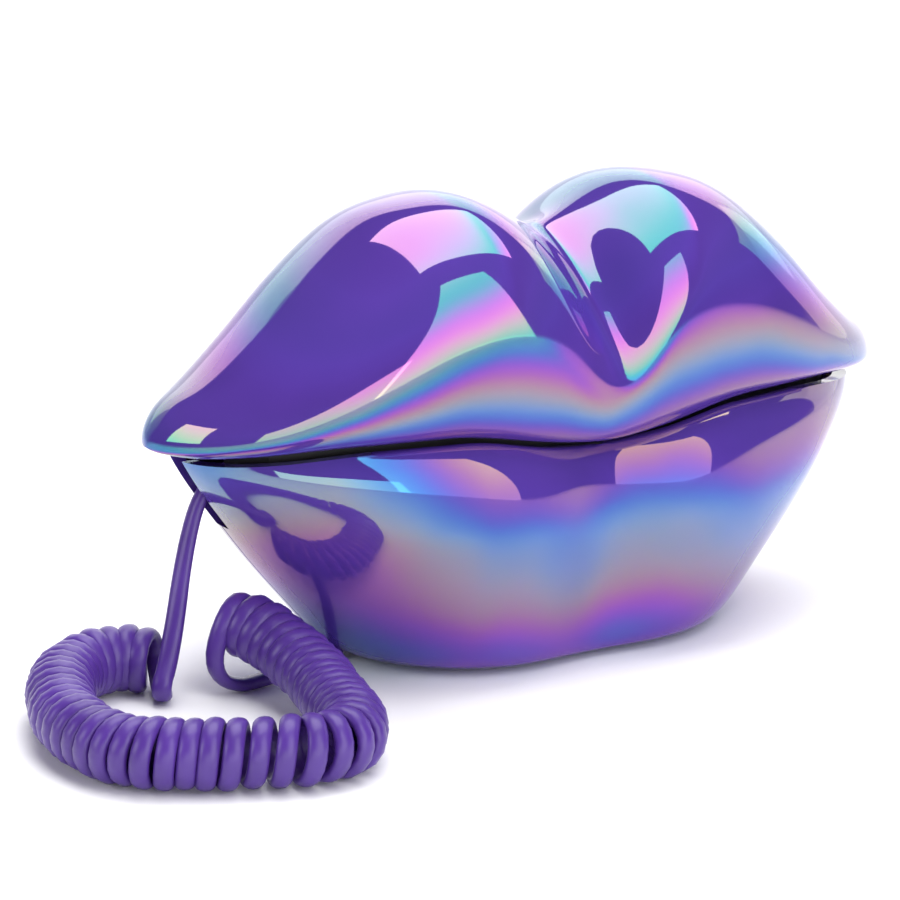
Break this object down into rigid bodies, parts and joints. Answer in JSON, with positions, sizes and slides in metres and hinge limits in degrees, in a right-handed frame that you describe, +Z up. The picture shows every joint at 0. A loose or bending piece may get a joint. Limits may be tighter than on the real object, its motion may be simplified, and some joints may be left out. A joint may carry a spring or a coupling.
{
  "type": "novelty shaped telephone",
  "caption": "Corded desk telephone shaped like a pair of lips: the upper lip lifts off as the handset, with a keypad underneath, and the lower lip is the base.",
  "frame": {"origin": "centre of the base's bounding box, without the cord, on the surface it stands on", "axes": "+X along the lips from the corner where the handset cord leaves, -Y out of the front face, +Z up"},
  "size_m": [0.2625, 0.127, 0.1192],
  "materials": {
    "pearl_violet": "pearlescent violet lacquer with a blue and pink sheen",
    "black_plastic": "fine matt",
    "key_plastic": "satin",
    "grey_plastic": "satin",
    "dark_rubber": "matt",
    "board_green": "solder mask",
    "plain_steel": "zinc plated",
    "spring_wire": "drawn wire",
    "cord_violet": "smooth satin jacket",
    "clear_plastic": "clear moulded"
  },
  "bodies": {
    "base": {"base_front_shell": "pearl_violet", "base_rear_shell": "pearl_violet", "base_deck": "black_plastic", "base_plate": "black_plastic", "base_board": "board_green", "ringer_buzzer": "black_plastic", "hook_switch": "black_plastic", "hook_spring": "spring_wire", "line_jack": "black_plastic", "base_jack": "black_plastic", "ringer_switch_body": "black_plastic", "dial_switch_body": "black_plastic", "base_weight": "plain_steel", "handset_tail": "cord_violet", "curly_cord": "cord_violet", "base_tail": "cord_violet", "base_plug": "clear_plastic", "foot_1": "dark_rubber", "foot_2": "dark_rubber", "foot_3": "dark_rubber", "foot_4": "dark_rubber", "base_screw_1": "plain_steel", "base_screw_2": "plain_steel", "base_screw_3": "plain_steel", "base_screw_4": "plain_steel"},
    "handset": {"handset_shell": "pearl_violet", "handset_face": "black_plastic", "earpiece_speaker": "plain_steel", "earpiece_gasket": "dark_rubber", "microphone": "plain_steel", "microphone_boot": "dark_rubber", "keypad_board": "board_green", "keypad_membrane": "dark_rubber", "handset_jack": "black_plastic", "handset_weight": "plain_steel", "handset_plug": "clear_plastic", "handset_screw_1": "plain_steel", "handset_screw_2": "plain_steel", "handset_screw_3": "plain_steel", "handset_screw_4": "plain_steel"},
    "hook_plunger": {"hook_plunger": "grey_plastic"},
    "ringer_knob": {"ringer_switch_knob": "grey_plastic"},
    "dial_knob": {"dial_switch_knob": "grey_plastic"},
    "key_1": {"key_1": "key_plastic"},
    "key_2": {"key_2": "key_plastic"},
    "key_3": {"key_3": "key_plastic"},
    "key_4": {"key_4": "key_plastic"},
    "key_5": {"key_5": "key_plastic"},
    "key_6": {"key_6": "key_plastic"},
    "key_7": {"key_7": "key_plastic"},
    "key_8": {"key_8": "key_plastic"},
    "key_9": {"key_9": "key_plastic"},
    "key_star": {"key_star": "key_plastic"},
    "key_0": {"key_0": "key_plastic"},
    "key_hash": {"key_hash": "key_plastic"},
    "key_flash": {"key_flash": "key_plastic"},
    "key_redial": {"key_redial": "key_plastic"},
    "key_mute": {"key_mute": "key_plastic"}
  },
  "joints": [
    {"name": "handset_lift", "type": "slide", "parent": "base", "child": "handset", "axis": [0, 0, 1], "range_m": [0, 0.08]},
    {"name": "hook_rise", "type": "slide", "parent": "base", "child": "hook_plunger", "axis": [0, 0, 1], "range_m": [0, 0.004], "deforming": ["hook_spring"]},
    {"name": "ringer_switch_slide", "type": "slide", "parent": "base", "child": "ringer_knob", "axis": [1, 0, 0], "range_m": [0, 0.004]},
    {"name": "dial_switch_slide", "type": "slide", "parent": "base", "child": "dial_knob", "axis": [1, 0, 0], "range_m": [0, 0.004]},
    {"name": "key_1_press", "type": "slide", "parent": "handset", "child": "key_1", "axis": [0, 0, 1], "range_m": [0, 0.0015], "stiffness_N_per_m": 500},
    {"name": "key_2_press", "type": "slide", "parent": "handset", "child": "key_2", "axis": [0, 0, 1], "range_m": [0, 0.0015], "stiffness_N_per_m": 500},
    {"name": "key_3_press", "type": "slide", "parent": "handset", "child": "key_3", "axis": [0, 0, 1], "range_m": [0, 0.0015], "stiffness_N_per_m": 500},
    {"name": "key_4_press", "type": "slide", "parent": "handset", "child": "key_4", "axis": [0, 0, 1], "range_m": [0, 0.0015], "stiffness_N_per_m": 500},
    {"name": "key_5_press", "type": "slide", "parent": "handset", "child": "key_5", "axis": [0, 0, 1], "range_m": [0, 0.0015], "stiffness_N_per_m": 500},
    {"name": "key_6_press", "type": "slide", "parent": "handset", "child": "key_6", "axis": [0, 0, 1], "range_m": [0, 0.0015], "stiffness_N_per_m": 500},
    {"name": "key_7_press", "type": "slide", "parent": "handset", "child": "key_7", "axis": [0, 0, 1], "range_m": [0, 0.0015], "stiffness_N_per_m": 500},
    {"name": "key_8_press", "type": "slide", "parent": "handset", "child": "key_8", "axis": [0, 0, 1], "range_m": [0, 0.0015], "stiffness_N_per_m": 500},
    {"name": "key_9_press", "type": "slide", "parent": "handset", "child": "key_9", "axis": [0, 0, 1], "range_m": [0, 0.0015], "stiffness_N_per_m": 500},
    {"name": "key_star_press", "type": "slide", "parent": "handset", "child": "key_star", "axis": [0, 0, 1], "range_m": [0, 0.0015], "stiffness_N_per_m": 500},
    {"name": "key_0_press", "type": "slide", "parent": "handset", "child": "key_0", "axis": [0, 0, 1], "range_m": [0, 0.0015], "stiffness_N_per_m": 500},
    {"name": "key_hash_press", "type": "slide", "parent": "handset", "child": "key_hash", "axis": [0, 0, 1], "range_m": [0, 0.0015], "stiffness_N_per_m": 500},
    {"name": "key_flash_press", "type": "slide", "parent": "handset", "child": "key_flash", "axis": [0, 0, 1], "range_m": [0, 0.0015], "stiffness_N_per_m": 500},
    {"name": "key_redial_press", "type": "slide", "parent": "handset", "child": "key_redial", "axis": [0, 0, 1], "range_m": [0, 0.0015], "stiffness_N_per_m": 500},
    {"name": "key_mute_press", "type": "slide", "parent": "handset", "child": "key_mute", "axis": [0, 0, 1], "range_m": [0, 0.0015], "stiffness_N_per_m": 500}
  ],
  "couplings": [
    {"joint": "hook_rise", "follows": "handset_lift", "ratio": 0.05}
  ]
}
